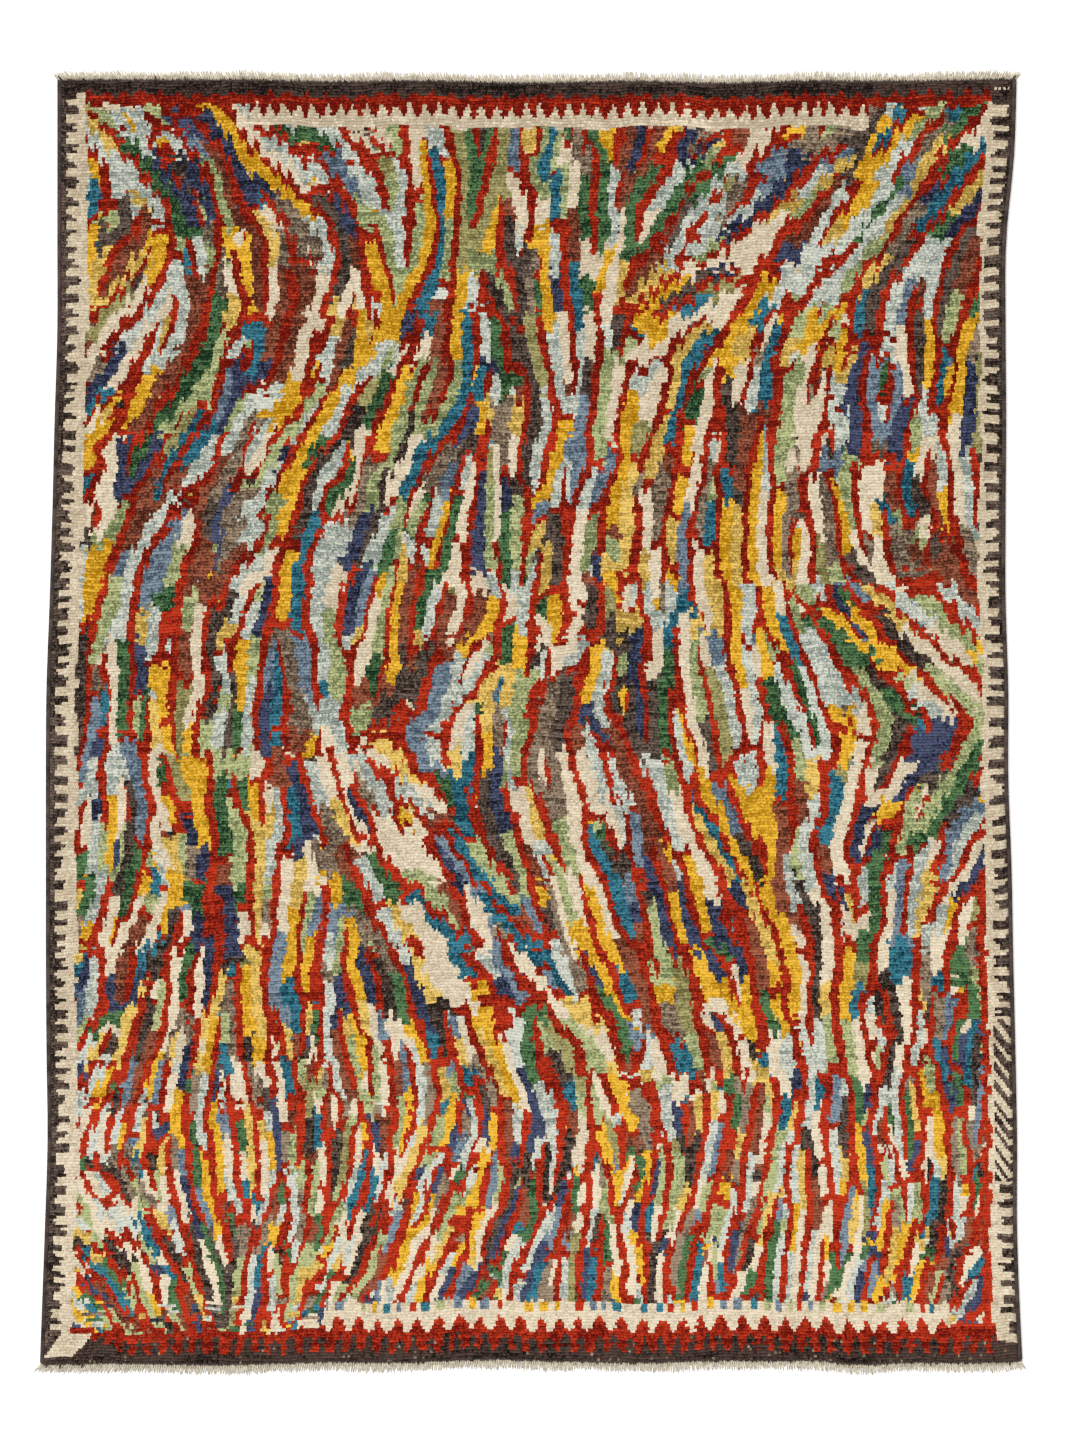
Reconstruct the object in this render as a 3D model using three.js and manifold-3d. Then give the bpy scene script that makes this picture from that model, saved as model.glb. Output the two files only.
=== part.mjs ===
// A hand-knotted wool rug lying flat: the knotted pile, an overcast cord along each side, and a short
// fringe of cut cotton warps at each end. Millimetres, +Z up, +Y towards the rug's top end.

import * as THREE from 'three';
import { mergeVertices } from 'three/addons/utils/BufferGeometryUtils.js';
import Module from 'manifold-3d';

const wasm = await Module();
wasm.setup();

const { lerp, degToRad, seededRandom } = THREE.MathUtils;

// Pieces that lie against each other keep this clearance.
const CLEARANCE = 0.3;

// The long edges, measured across from the loom's centre line at stations along the rug.
const SIDE_STATIONS = [
  { along: -1166, left: -896, right: 895 },
  { along: -1089, left: -893, right: 891 },
  { along: -925, left: -887, right: 885 },
  { along: -762, left: -882, right: 885 },
  { along: -598, left: -884, right: 882 },
  { along: -434, left: -885, right: 878 },
  { along: -270, left: -885, right: 875 },
  { along: -106, left: -885, right: 869 },
  { along: 57, left: -884, right: 869 },
  { along: 221, left: -878, right: 864 },
  { along: 385, left: -873, right: 864 },
  { along: 549, left: -869, right: 865 },
  { along: 713, left: -864, right: 864 },
  { along: 876, left: -864, right: 865 },
  { along: 1040, left: -864, right: 880 },
  { along: 1166, left: -864, right: 884 },
];

// The first and last rows of knots, measured along the rug at stations across it.
const END_STATIONS = [
  { across: -896, top: 1167.5, bottom: -1170 },
  { across: -749, top: 1167.5, bottom: -1167.5 },
  { across: -640, top: 1167.5, bottom: -1169.4 },
  { across: -521, top: 1167.5, bottom: -1169.4 },
  { across: -385, top: 1163.9, bottom: -1164.8 },
  { across: -248, top: 1165.2, bottom: -1165.7 },
  { across: -157, top: 1165.2, bottom: -1162.6 },
  { across: -66, top: 1162.1, bottom: -1160.2 },
  { across: 25, top: 1161.7, bottom: -1163 },
  { across: 116, top: 1163.9, bottom: -1164.8 },
  { across: 207, top: 1164.8, bottom: -1166.3 },
  { across: 343, top: 1160.8, bottom: -1162.1 },
  { across: 434, top: 1163.3, bottom: -1163.2 },
  { across: 525, top: 1165.7, bottom: -1162.4 },
  { across: 580, top: 1164.8, bottom: -1169.4 },
  { across: 707, top: 1165.3, bottom: -1165.7 },
  { across: 798, top: 1167.5, bottom: -1166.8 },
  { across: 895, top: 1169.4, bottom: -1163.9 },
];

const NOMINAL_WIDTH = 1760;
const NOMINAL_LENGTH = 2330;

// Faces along the outline: one each 45 mm or so.
const STEPS_ACROSS = 40;
const STEPS_ALONG = 52;

// The pile is 12 mm deep and rounds over at its rim, where the outer knots lean out.
const RIM_PROFILE = [
  { inset: 0, height: 0 },
  { inset: 0, height: 5.5 },
  { inset: 2.2, height: 9 },
  { inset: 6.5, height: 11.2 },
  { inset: 14, height: 12 },
];

// The side cord: wool wound round the two outermost warp bundles, flat where it lies on the floor.
const CORD = { width: 9, height: 8, sides: 8 };

// The flat-woven strip that the warps come out of, and the locks of cut warps beyond it.
const STRIP = { width: 5, thickness: 3, edgeThickness: 2.2 };
const LOCK = { count: 148, rootWidth: 7.6, tipWidth: 4.2, rootHeight: 2, tipHeight: 1.3, taper: 0.72 };
const LOCK_LENGTH = { top: 14.5, bottom: 17, uneven: 0.12 };
const LOCK_STRAY = 6;

// How far the locks lean towards +X from straight out, in degrees, by their share of the way across.
const LOCK_LEAN = [
  { across: 0, top: -38, bottom: -40 },
  { across: 0.03, top: -24, bottom: -24 },
  { across: 0.1, top: -14, bottom: -8 },
  { across: 0.35, top: -8, bottom: 0 },
  { across: 0.6, top: -3, bottom: 3 },
  { across: 0.88, top: 6, bottom: 8 },
  { across: 0.97, top: 20, bottom: 14 },
  { across: 1, top: 38, bottom: 26 },
];

// An uneven share from -1 to 1, the same on every run.
const uneven = () => seededRandom() * 2 - 1;

// A smooth curve through one column of a table of stations.
function curveThrough(stations, place, column) {
  const places = stations.map((station) => station[place]);
  const values = stations.map((station) => station[column]);
  const curve = new THREE.CubicInterpolant(places, values, 1);
  return (at) => curve.evaluate(at)[0];
}

const leftEdge = curveThrough(SIDE_STATIONS, 'along', 'left');
const rightEdge = curveThrough(SIDE_STATIONS, 'along', 'right');
const topEdge = curveThrough(END_STATIONS, 'across', 'top');
const bottomEdge = curveThrough(END_STATIONS, 'across', 'bottom');

// A point of the rug's plan, by its share of the way across from the left and along from the bottom.
function pointOn(across, along) {
  let x = lerp(-NOMINAL_WIDTH / 2, NOMINAL_WIDTH / 2, across);
  let y = lerp(-NOMINAL_LENGTH / 2, NOMINAL_LENGTH / 2, along);
  for (let pass = 0; pass < 3; pass += 1) {
    x = lerp(leftEdge(y), rightEdge(y), across);
    y = lerp(bottomEdge(x), topEdge(x), along);
  }
  return { x, y };
}

// A closed solid through loops of points, capped at both ends. flatten gives the two coordinates of a
// loop's plane, in the order that turns anticlockwise seen from the last loop's side.
function loft(loops, flatten) {
  const outline = loops[0].map(flatten);
  const turned = THREE.ShapeUtils.isClockWise(outline) ? loops.map((loop) => [...loop].reverse()) : loops;
  const size = turned[0].length;
  const last = (turned.length - 1) * size;
  const faces = [];
  for (let start = 0; start < last; start += size) {
    for (let i = 0; i < size; i += 1) {
      const next = (i + 1) % size;
      faces.push(start + i, start + next, start + size + next);
      faces.push(start + i, start + size + next, start + size + i);
    }
  }
  for (const [a, b, c] of THREE.ShapeUtils.triangulateShape(turned[0].map(flatten), [])) {
    faces.push(c, b, a);
  }
  for (const [a, b, c] of THREE.ShapeUtils.triangulateShape(turned.at(-1).map(flatten), [])) {
    faces.push(last + a, last + b, last + c);
  }
  const geometry = new THREE.BufferGeometry().setFromPoints(turned.flat());
  geometry.setIndex(faces);
  return geometry;
}

function toManifold(geometry) {
  const bare = geometry.clone();
  bare.deleteAttribute('normal');
  bare.deleteAttribute('uv');
  const merged = mergeVertices(bare);
  return new wasm.Manifold(new wasm.Mesh({
    numProp: 3,
    vertProperties: new Float32Array(merged.attributes.position.array),
    triVerts: new Uint32Array(merged.index.array),
  }));
}

function fromManifold(solid) {
  const mesh = solid.getMesh();
  const geometry = new THREE.BufferGeometry();
  geometry.setAttribute('position', new THREE.BufferAttribute(new Float32Array(mesh.vertProperties), 3));
  geometry.setIndex([...mesh.triVerts]);
  return geometry;
}

function piece(name, geometry, look) {
  geometry.computeVertexNormals();
  const mesh = new THREE.Mesh(geometry, new THREE.MeshStandardMaterial(look));
  mesh.name = name;
  return mesh;
}

// The share of the rug's width that each side cord takes, with its clearance.
const CORD_SHARE = (CORD.width + CLEARANCE) / NOMINAL_WIDTH;

// The plan of the pile, drawn in by inset from the edge it shares with the cords and the fringe.
function pileLoop(inset, height) {
  const side = CORD_SHARE + inset / NOMINAL_WIDTH;
  const end = inset / NOMINAL_LENGTH;
  const corners = [[side, end], [1 - side, end], [1 - side, 1 - end], [side, 1 - end]];
  const loop = [];
  corners.forEach(([across, along], corner) => {
    const [nextAcross, nextAlong] = corners[(corner + 1) % corners.length];
    const steps = corner % 2 === 0 ? STEPS_ACROSS : STEPS_ALONG;
    for (let i = 0; i < steps; i += 1) {
      const { x, y } = pointOn(lerp(across, nextAcross, i / steps), lerp(along, nextAlong, i / steps));
      loop.push(new THREE.Vector3(x, y, height));
    }
  });
  return loop;
}

function knottedBody() {
  const loops = RIM_PROFILE.map(({ inset, height }) => pileLoop(inset, height));
  return loft(loops, ({ x, y }) => new THREE.Vector2(x, y));
}

// A round cord with a flat underside, following the rug's left or right edge.
function sideCord(side) {
  const profile = [];
  for (let i = 0; i < CORD.sides; i += 1) {
    const turn = ((i + 0.5) / CORD.sides) * 2 * Math.PI;
    const height = (CORD.height / 2) * (1 - Math.cos(turn) / Math.cos(Math.PI / CORD.sides));
    const inset = (CORD.width / 2) * (1 - Math.sin(turn));
    profile.push({ inset: inset / NOMINAL_WIDTH, height: Math.max(height, 0) });
  }
  const loops = [];
  for (let i = 0; i <= STEPS_ALONG; i += 1) {
    loops.push(profile.map(({ inset, height }) => {
      const { x, y } = pointOn(side === 'left' ? inset : 1 - inset, i / STEPS_ALONG);
      return new THREE.Vector3(x, y, height);
    }));
  }
  return loft(loops, ({ x, z }) => new THREE.Vector2(z, x));
}

// The narrow woven strip, a clearance beyond the end row of knots and turning with it.
function wovenStrip(end, out) {
  const near = out * CLEARANCE;
  const far = out * (CLEARANCE + STRIP.width);
  const stations = [0];
  for (let i = 0; i <= STEPS_ACROSS; i += 1) {
    stations.push(lerp(CORD_SHARE, 1 - CORD_SHARE, i / STEPS_ACROSS));
  }
  stations.push(1);
  const loops = stations.map((across) => {
    const { x, y } = pointOn(across, end === 'top' ? 1 : 0);
    return [
      new THREE.Vector3(x, y + near, 0),
      new THREE.Vector3(x, y + far, 0),
      new THREE.Vector3(x, y + far, STRIP.edgeThickness),
      new THREE.Vector3(x, y + near, STRIP.thickness),
    ];
  });
  return loft(loops, ({ y, z }) => new THREE.Vector2(y, z));
}

// One lock of cut warps: four-sided, lying level on the floor, with its root inside the strip.
function warpLock(root, length, lean, out) {
  const angle = degToRad(lean);
  const loops = [0, 1].map((share) => {
    const centre = new THREE.Vector2(Math.sin(angle), out * Math.cos(angle)).multiplyScalar(length * share);
    const half = new THREE.Vector2(Math.cos(angle), -out * Math.sin(angle));
    half.multiplyScalar(lerp(LOCK.rootWidth, LOCK.tipWidth, share) / 2);
    const height = lerp(LOCK.rootHeight, LOCK.tipHeight, share);
    return [[-1, 0], [1, 0], [LOCK.taper, height], [-LOCK.taper, height]].map(([sideways, z]) => new THREE.Vector3(
      root.x + centre.x + half.x * sideways,
      root.y + centre.y + half.y * sideways,
      z,
    ));
  });
  return loft(loops, ({ x, z }) => (out > 0 ? new THREE.Vector2(z, x) : new THREE.Vector2(x, z)));
}

function fringe(end) {
  const out = end === 'top' ? 1 : -1;
  const leanAt = curveThrough(LOCK_LEAN, 'across', end);
  const inset = LOCK.rootWidth / 2 / NOMINAL_WIDTH;
  const rootDepth = CLEARANCE + STRIP.width / 2;
  let solid = toManifold(wovenStrip(end, out));
  for (let i = 0; i < LOCK.count; i += 1) {
    const across = lerp(inset, 1 - inset, i / (LOCK.count - 1));
    const root = pointOn(across, end === 'top' ? 1 : 0);
    root.y += out * rootDepth;
    const length = (LOCK_LENGTH[end] - rootDepth) * (1 + LOCK_LENGTH.uneven * uneven());
    const lean = leanAt(across) + LOCK_STRAY * uneven();
    solid = solid.add(toManifold(warpLock(root, length, lean, out)));
  }
  return fromManifold(solid);
}

const WOOL_PILE = { color: '#9c3a26', roughness: 0.95, metalness: 0 };
const WOOL_CORD = { color: '#3a3130', roughness: 0.9, metalness: 0 };
const COTTON_WARP = { color: '#cfc6b6', roughness: 0.92, metalness: 0 };

const rug = new THREE.Group();
rug.add(piece('knotted_body', knottedBody(), WOOL_PILE));
rug.add(piece('selvedge_left', sideCord('left'), WOOL_CORD));
rug.add(piece('selvedge_right', sideCord('right'), WOOL_CORD));
rug.add(piece('fringe_top', fringe('top'), COTTON_WARP));
rug.add(piece('fringe_bottom', fringe('bottom'), COTTON_WARP));

// The origin is the middle of the underside.
const middle = new THREE.Box3().setFromObject(rug).getCenter(new THREE.Vector3());
rug.position.set(-middle.x, -middle.y, 0);

export default rug;
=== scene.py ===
import math

import bpy
import numpy as np
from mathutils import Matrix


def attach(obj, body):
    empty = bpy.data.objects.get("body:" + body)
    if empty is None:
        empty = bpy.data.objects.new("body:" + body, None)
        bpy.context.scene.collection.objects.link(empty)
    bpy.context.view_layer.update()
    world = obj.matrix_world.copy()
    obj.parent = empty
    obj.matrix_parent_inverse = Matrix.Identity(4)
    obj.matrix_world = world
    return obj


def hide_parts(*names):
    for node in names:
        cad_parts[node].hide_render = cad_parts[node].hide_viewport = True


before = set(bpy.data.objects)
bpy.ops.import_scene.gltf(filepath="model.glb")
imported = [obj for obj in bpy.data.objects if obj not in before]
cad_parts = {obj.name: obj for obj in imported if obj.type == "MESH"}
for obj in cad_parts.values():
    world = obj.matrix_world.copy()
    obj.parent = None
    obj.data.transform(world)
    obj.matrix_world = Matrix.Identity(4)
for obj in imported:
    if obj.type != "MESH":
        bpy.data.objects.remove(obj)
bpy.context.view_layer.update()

# The pile: wool knots tied row by row over the cotton warps, beaten down and sheared to 12 mm. 440 knots
# make a row and 432 rows make the rug. Each knot takes one dyed yarn, as its maker's chart says. The pile
# leans towards the bottom end, so each row laps over the one below it like a shingle.
KNOTS = 440
ROWS = 432
KNOT_WIDTH = 4.0e-3
ROW_HEIGHT = 5.4e-3

# Each dye as it took in its strongest and its weakest pot. Wool of one dye lies anywhere between the two.
DYES = {
    "madder": ("#6A1305", "#C24427"),
    "ivory": ("#B6A78F", "#E1D4BC"),
    "gold": ("#AC800F", "#E8BD49"),
    "old_gold": ("#A08542", "#E4C676"),
    "sage": ("#707A54", "#BDC091"),
    "green": ("#1B3722", "#64855C"),
    "teal": ("#173F4E", "#4B8999"),
    "indigo": ("#1E2131", "#585F79"),
    "blue": ("#485665", "#8C9AA5"),
    "pale_blue": ("#88918A", "#D2D3C7"),
    "taupe": ("#504237", "#A5937E"),
    "rust": ("#50281B", "#A3654D"),
    "olive": ("#726C43", "#AFA877"),
    "charcoal": ("#271D18", "#76675D"),
    "dark_brown": ("#17120F", "#5B4A43"),
}
DYE_NAMES = list(DYES)
MADDER = DYE_NAMES.index("madder")
IVORY = DYE_NAMES.index("ivory")
CHARCOAL = DYE_NAMES.index("charcoal")
DARK_BROWN = DYE_NAMES.index("dark_brown")

maker = np.random.default_rng(5)
knot, row = np.meshgrid(np.arange(KNOTS), np.arange(ROWS))
across_mm = (knot + 0.5) * KNOT_WIDTH * 1000
along_mm = (row + 0.5) * ROW_HEIGHT * 1000


def runs(lengths, total, chance=maker):
    """The number of the run that each of total rows or knots lies in."""
    ends = np.cumsum(chance.choice(lengths, total))
    return np.searchsorted(ends, np.arange(total), side="right")


def nearby(middle, reach, step):
    """The knots or rows, each one step wide, that lie within reach of a place."""
    return slice(max(int((middle - reach) / step), 0), max(int((middle + reach) / step), 0))


# The field is plain abstract streaks, laid out by a formula. Patches of the rug each have their own slant,
# and short waves with that slant are added up. Three streaks make one wave, and each is about 19 mm wide, or
# 13 mm low down. A wave fades away from its middle and counts as far as its reach, and some waves lie in a
# spill outside the rug. Sizes are in millimetres, and a slant is millimetres to the right for each one up.
FIELD_WIDTH = 1760
FIELD_LENGTH = 2330
PATCHES = 34
PATCH_SIZE = 100
STEEPEST_SLANT = 1.2
SLANTED_SHARE = 0.85
SLANT_WANDER = 0.14
WAVE_GAP_ACROSS = 30
WAVE_GAP_ALONG = 50
STRAY_ACROSS = 13
STRAY_ALONG = 25
SPILL_ACROSS = 60
SPILL_ALONG = 120
WAVE_WIDTH = 56
LOW_WAVE_WIDTH = 38
LOW_PART = 620
LOW_PART_WAVER = 130
LOW_PART_FADE = 160
REACH_ACROSS = 110
REACH_ALONG = 165
FADE_BESIDE = 40
FADE_AHEAD = 76

patch_x = maker.uniform(-PATCH_SIZE, FIELD_WIDTH + PATCH_SIZE, PATCHES)
patch_y = maker.uniform(-PATCH_SIZE, FIELD_LENGTH + PATCH_SIZE, PATCHES)
patch_slant = maker.permutation(np.linspace(-STEEPEST_SLANT, STEEPEST_SLANT, PATCHES))
patch_slant *= maker.random(PATCHES) < SLANTED_SHARE
wave_x, wave_y = np.meshgrid(np.arange(-SPILL_ACROSS, FIELD_WIDTH + SPILL_ACROSS, WAVE_GAP_ACROSS),
                             np.arange(-SPILL_ALONG, FIELD_LENGTH + SPILL_ALONG, WAVE_GAP_ALONG))
wave_x = (wave_x + maker.uniform(-STRAY_ACROSS, STRAY_ACROSS, wave_x.shape)).ravel()
wave_y = (wave_y + maker.uniform(-STRAY_ALONG, STRAY_ALONG, wave_y.shape)).ravel()
away = ((wave_x[:, None] - patch_x) ** 2 + 0.6 * (wave_y[:, None] - patch_y) ** 2) / PATCH_SIZE ** 2
pull = (away + 0.1) ** -2
wave_slant = (pull * patch_slant).sum(axis=1) / pull.sum(axis=1)
wave_slant += maker.normal(0, SLANT_WANDER, wave_x.shape)
low_down = LOW_PART + LOW_PART_WAVER * np.sin(wave_x / 230) - wave_y
low_down = np.clip(low_down / LOW_PART_FADE, 0, 1)
wave_width = (WAVE_WIDTH - (WAVE_WIDTH - LOW_WAVE_WIDTH) * low_down) * maker.uniform(0.9, 1.1, wave_x.shape)
wave_start = maker.uniform(0, 2 * math.pi, wave_x.shape)
waves = np.zeros(knot.shape, complex)
for x, y, slant, width, start in zip(wave_x, wave_y, wave_slant, wave_width, wave_start):
    near = (nearby(y, REACH_ALONG, ROW_HEIGHT * 1000), nearby(x, REACH_ACROSS, KNOT_WIDTH * 1000))
    right = across_mm[near] - x
    up = along_mm[near] - y
    beside = (right - up * slant) / math.hypot(1, slant)
    ahead = (right * slant + up) / math.hypot(1, slant)
    fade = np.exp(-(beside / FADE_BESIDE) ** 2 - (ahead / FADE_AHEAD) ** 2)
    waves[near] += fade * np.exp(1j * (2 * math.pi * beside / width + start))
phase = np.angle(waves) / (2 * math.pi)

# Here and there the maker began the streaks anew at one row, beside where they had been. Each such place is
# given by that row and by the knot in its middle.
RESTARTS = ((96, 285), (205, 100), (262, 360), (352, 150))
RESTART_KNOTS = 60
RESTART_ROWS = 70
RESTART_SHIFT = 0.42
for first, middle in RESTARTS:
    reach = np.clip(1 - np.abs(knot - middle) / RESTART_KNOTS, 0, 1) ** 0.5
    phase += RESTART_SHIFT * reach * np.clip(1 - (row - first) / RESTART_ROWS, 0, 1) * (row > first)

# Each colour change is stepped, since a knot has one colour: the edges jump by part of a knot or more from
# one row to the next. One lane in each wave is left to madder, widest at the bottom of the rug.
JUMP = 0.05
jump = maker.uniform(-1, 1, knot.shape)[runs([1, 2, 2, 3], ROWS)][:, runs([4, 5, 6], KNOTS)]
phase = (phase + JUMP * jump) % 1
madder_share = np.interp(row, [60, 150, 200, 300, 340], [0.32, 0.27, 0.24, 0.24, 0.27])
lane = np.select([phase < madder_share, phase < 0.5 + madder_share / 2], [0, 1], 2)

# How often each yarn comes up in the field, beside the madder that keeps the streaks apart.
FIELD_YARNS = {
    "ivory": 0.145, "gold": 0.105, "pale_blue": 0.17, "sage": 0.095, "teal": 0.055, "indigo": 0.07,
    "taupe": 0.06, "old_gold": 0.08, "green": 0.06, "rust": 0.055, "blue": 0.045, "olive": 0.015,
    "charcoal": 0.06,
}
GAP_CHANCE = 0.3
STRAY_CHANCE = 0.07
LOW_ROWS = 110
yarn_numbers = np.array([DYE_NAMES.index(name) for name in FIELD_YARNS])
yarn_shares = np.array(list(FIELD_YARNS.values()))

# The knotting itself, row by row from the bottom: a streak keeps its yarn from the row below until it has
# run its length, and then it takes a yarn that differs from its neighbours', or first a short gap of madder.
# Now and then a madder lane holds a stray streak. Low down the streaks are shorter, and more are ivory.
yarn = np.zeros(knot.shape, int)
pot = np.zeros(knot.shape)
streaks = []
below = np.zeros(KNOTS, int)
for r in range(ROWS):
    starts = np.flatnonzero(np.diff(lane[r], prepend=-1))
    stretch = 8.5 if r > LOW_ROWS else 5
    here = np.zeros(KNOTS, int)
    before = -1
    for start, end in zip(starts, np.append(starts[1:], KNOTS)):
        under = below[start:end][lane[r - 1, start:end] == lane[r, start]] if r else below[:0]
        mine = np.bincount(under).argmax() if len(under) else -1
        last = streaks[mine][0] if len(under) else -1
        if len(under) == 0 or streaks[mine][2] <= r:
            gap = last > MADDER and maker.random() < GAP_CHANCE
            chosen = MADDER
            if not gap and (lane[r, start] or maker.random() < STRAY_CHANCE):
                odds = yarn_shares * ~np.isin(yarn_numbers, [last, before, yarn[r - 1, end % KNOTS]])
                odds[yarn_numbers == IVORY] *= np.interp(r, [110, 190], [1.6, 1])
                chosen = maker.choice(yarn_numbers, p=odds / odds.sum())
            length = maker.integers(2, 5) if gap else max(maker.gamma(2.6, 1.0) * stretch, 4)
            mine = len(streaks)
            streaks.append((chosen, maker.uniform(-1, 1), r + length))
        here[start:end] = mine
        before, pot[r, start:end], _ = streaks[mine]
        yarn[r, start:end] = before
    below = here

# Small blocks of the pattern are lifted or dropped by a row or two, so the ends of the streaks are ragged.
lift = maker.integers(-2, 3, knot.shape)[runs([9, 14], ROWS)][:, runs([2, 3], KNOTS)]
lifted = np.clip(row + lift, 0, ROWS - 1)
yarn = yarn[lifted, knot]
pot = pot[lifted, knot]


def within(place, first, last):
    """Where a row or a knot lies between two others, which count as well."""
    return (place >= first) & (place <= last)


# The comb borders down both sides: charcoal teeth on ivory, then a plain ivory band. Low on the right the
# teeth run slantwise, and a madder line runs up beside the band. Each part reaches so many knots in from the
# edge, at the bottom, at row 200 and at the top.
COMBS = {
    "left": {"solid": (2.1, 2.0, 2.1), "teeth": (6.5, 7.1, 6.9), "band": (12, 11.7, 11.4)},
    "right": {"solid": (0.0, 0.3, 1.4), "teeth": (5.8, 6.0, 8.0), "band": (9.2, 9.0, 10.3)},
}
SLANTED_ROWS = (61, 114)
SLANTED_TEETH = 7.4
TEETH_SLOPE = 0.9
SLOPE_KNOTS = 20
LINE_TOP = 165
for side, comb in COMBS.items():
    inward = knot if side == "left" else KNOTS - 1 - knot
    solid, teeth, band = [np.interp(np.arange(ROWS), [0, 200, ROWS], comb[part]) for part in comb]
    slanted = (side == "right") & within(row, *SLANTED_ROWS)
    tooth = runs([2, 3, 3, 3, 2, 4], ROWS * 2)
    fine_tooth = runs([3, 2, 4, 2, 3, 2], ROWS * 2)
    sloping = row + SLOPE_KNOTS - (TEETH_SLOPE * np.minimum(inward, SLOPE_KNOTS)).astype(int)
    dark_tooth = np.where(slanted, fine_tooth[sloping], tooth[row]) % 2 == 1
    tip = teeth + maker.uniform(-0.9, 0.9, ROWS)[runs([5], ROWS)]
    tip += maker.choice([-2.2, -1, 0, 0, 0, 0.6], ROWS)
    tip = np.where(slanted, SLANTED_TEETH, tip[:, None])
    ragged = band + maker.choice([-1, 0, 0, 1], ROWS)[runs([2, 3, 5, 8], ROWS)]
    line = np.interp(row[:, 0], [16, 100, 150, LINE_TOP], [3.4, 3.6, 4.2, 0]) + maker.choice([0, 0, 1], ROWS)
    yarn[(side == "right") & (inward < (ragged + line)[:, None]) & (row < LINE_TOP)] = MADDER
    yarn[inward < ragged[:, None]] = IVORY
    yarn[dark_tooth & (inward < tip)] = CHARCOAL
    yarn[inward < (solid + maker.choice([0, 0, 1], ROWS))[:, None] - 0.5] = CHARCOAL


def across_repeat(lengths):
    """The repeat that each knot lies in, and how far right of its middle the knot is."""
    number = runs(lengths, KNOTS)
    middle = np.array([np.flatnonzero(number == n).mean() for n in range(number.max() + 1)])
    return number, np.arange(KNOTS) - middle[number]


def stepped(repeat, half_widths, wobble):
    """Small uneven figures, one to each repeat: half_widths gives half the width of each of their rows."""
    number, offset = repeat
    shape = (len(half_widths), number.max() + 1)
    lean = np.arange(shape[0])[:, None] * maker.uniform(-0.25, 0.25, shape[1])
    half = np.array(half_widths)[:, None] + maker.uniform(-wobble, wobble, shape)
    return np.abs(offset - lean[:, number]) < half[:, number]


# The top end: five dark rows with madder peaks in them, some rows of madder, and over most of the width
# stepped ivory crowns on an ivory band. Rows are counted down from the top here.
from_top = ROWS - 1 - row
end_knot = np.arange(KNOTS)
inside = within(knot, 11, KNOTS - 10)
top_band = within(end_knot, 87, 373)
ragged = maker.choice([0, 0, 1, 2], KNOTS)[runs([2, 3, 4], KNOTS)]
yarn[inside & (from_top < 7 + ragged)] = MADDER
yarn[within(from_top, 5, 11) & top_band] = MADDER
yarn[within(from_top, 12, 14 + (ragged > 1)) & top_band] = IVORY
crowns = stepped(across_repeat([6, 7, 7]), [2.8, 1.8, 1.5, 0.8, 0.4], 0.6)
for up, figure in enumerate(crowns):
    yarn[ROWS - 12 + up, top_band & figure] = IVORY
peak = np.clip(1 - np.abs(across_repeat([8, 8, 9])[1]) / 2.6, 0, 1)
dark_rows = 4.8 + 0.4 * maker.choice([0, 0, 0, 0, 0, 0, 1], KNOTS)[runs([2, 3, 5], KNOTS)]
dark_rows -= peak * np.interp(end_knot, [0, 330, 390, KNOTS], [1.9, 1.9, 3.0, 3.4])
yarn[from_top < dark_rows] = DARK_BROWN

# The top corners: a small ivory block beside the dark at the left, and four single pale knots at the right.
yarn[(from_top < 6) & (knot < 7)] = DARK_BROWN
yarn[within(from_top, 4, 6) & within(knot, 7, 10)] = IVORY
yarn[(from_top < 7) & (knot > KNOTS - 10)] = DARK_BROWN
yarn[(from_top == 2) & np.isin(KNOTS - knot, [2, 4, 6, 8])] = IVORY

# The bottom end: three dark rows, broken dark crosses rising into the madder, and over most of the width
# an ivory band with crowns that hang into the madder and small coloured squares along its top. Left of the
# band, short coloured dashes lie scattered above the dark rows.
bottom_band = within(end_knot, 127, 409)
DASHES = 30
SQUARE_YARNS = ("madder", "madder", "ivory", "gold", "sage", "teal", "blue")
dashes = zip(maker.integers(10, 23, DASHES), maker.integers(15, 122, DASHES), maker.integers(3, 9, DASHES),
             maker.choice(yarn_numbers, DASHES, p=yarn_shares / yarn_shares.sum()))
square = runs([2, 3, 3, 4], KNOTS)
square_yarn = maker.choice([DYE_NAMES.index(name) for name in SQUARE_YARNS], square.max() + 1)[square]
ragged = maker.choice([0, 1, 2], KNOTS)[runs([2, 3, 4], KNOTS)]
yarn[inside & (row < np.where(knot > 300, 13, 10) + ragged)] = MADDER
yarn[(row < 15) & bottom_band] = MADDER
for first, start, width, dash in dashes:
    yarn[first:first + 1 + width % 2, start:start + width] = dash
yarn[within(row, 15, 19) & bottom_band] = IVORY
squares = within(row, 17, 19 + (ragged > 1)) & bottom_band & (square % 2 == 0)
yarn = np.where(squares, square_yarn, yarn)
hanging = stepped(across_repeat([8, 9, 10]), [3.9, 3.0, 2.4, 1.8, 1.1], 0.7)
for down, figure in enumerate(hanging):
    yarn[14 - down, bottom_band & figure] = IVORY
crosses = stepped(across_repeat([6, 7, 7, 8]), [2.5, 1.8, 1.4, 1.8, 1.2, 0.4], 0.9)
for up, figure in enumerate(crosses):
    yarn[3 + up, inside[0] & figure] = DARK_BROWN
yarn[inside & (row < 8 - 0.28 * (knot - 18))] = DARK_BROWN
yarn[row < 3] = DARK_BROWN

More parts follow.
